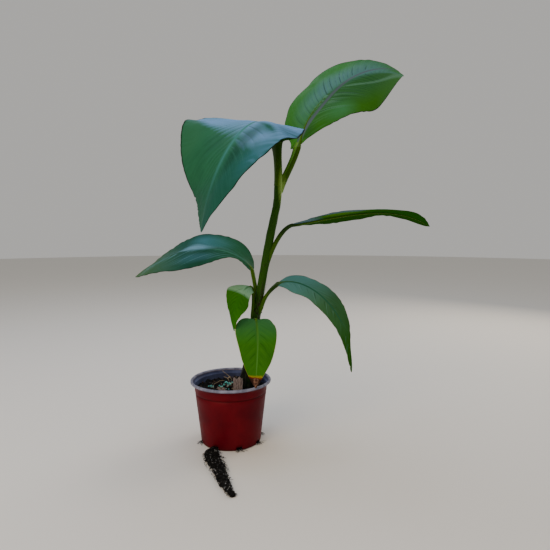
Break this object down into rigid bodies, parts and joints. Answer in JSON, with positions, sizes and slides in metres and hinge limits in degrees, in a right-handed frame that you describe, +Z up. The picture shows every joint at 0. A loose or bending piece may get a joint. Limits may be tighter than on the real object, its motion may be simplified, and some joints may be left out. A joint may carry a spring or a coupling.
{
  "type": "potted japanese fiber banana plant",
  "caption": "Young broad-leaved banana plant: a leaning sheathed stem forks into long stalks with large arching blades, standing in a round tapered nursery pot with a rolled lip.",
  "frame": {"origin": "middle of the pot's flat underside", "axes": "+Z up, +X to the right and +Y away from the picture's viewer"},
  "size_m": [0.5466, 0.3121, 0.7205],
  "materials": {
    "pot": "satin dark red outside, blue-black inside, grey lip",
    "soil": "dark moist potting mix",
    "bark": "weathered bark",
    "roots": "matted brown roots with soil in them",
    "stem": "smooth green sheaths, dark brown and dry at the foot",
    "stalk": "smooth green",
    "blade": "smooth semi-gloss leaf"
  },
  "bodies": {
    "root": {"pot": "pot", "soil": "soil", "bark_chip": "bark", "curved_chip": "bark", "trailing_roots": "roots", "stem": "stem", "stalk_front": "stalk", "stalk_low_left": "stalk", "stalk_mid_left": "stalk", "stalk_low_right": "stalk", "stalk_mid_right": "stalk", "stalk_top_left": "stalk", "stalk_top_right": "stalk", "blade_front": "blade", "blade_low_left": "blade", "blade_mid_left_inner": "blade", "blade_mid_left_outer": "blade", "blade_low_right_inner": "blade", "blade_low_right_outer": "blade", "blade_mid_right": "blade", "blade_top_left_inner": "blade", "blade_top_left_outer": "blade", "blade_top_right": "blade"}
  },
  "joints": []
}
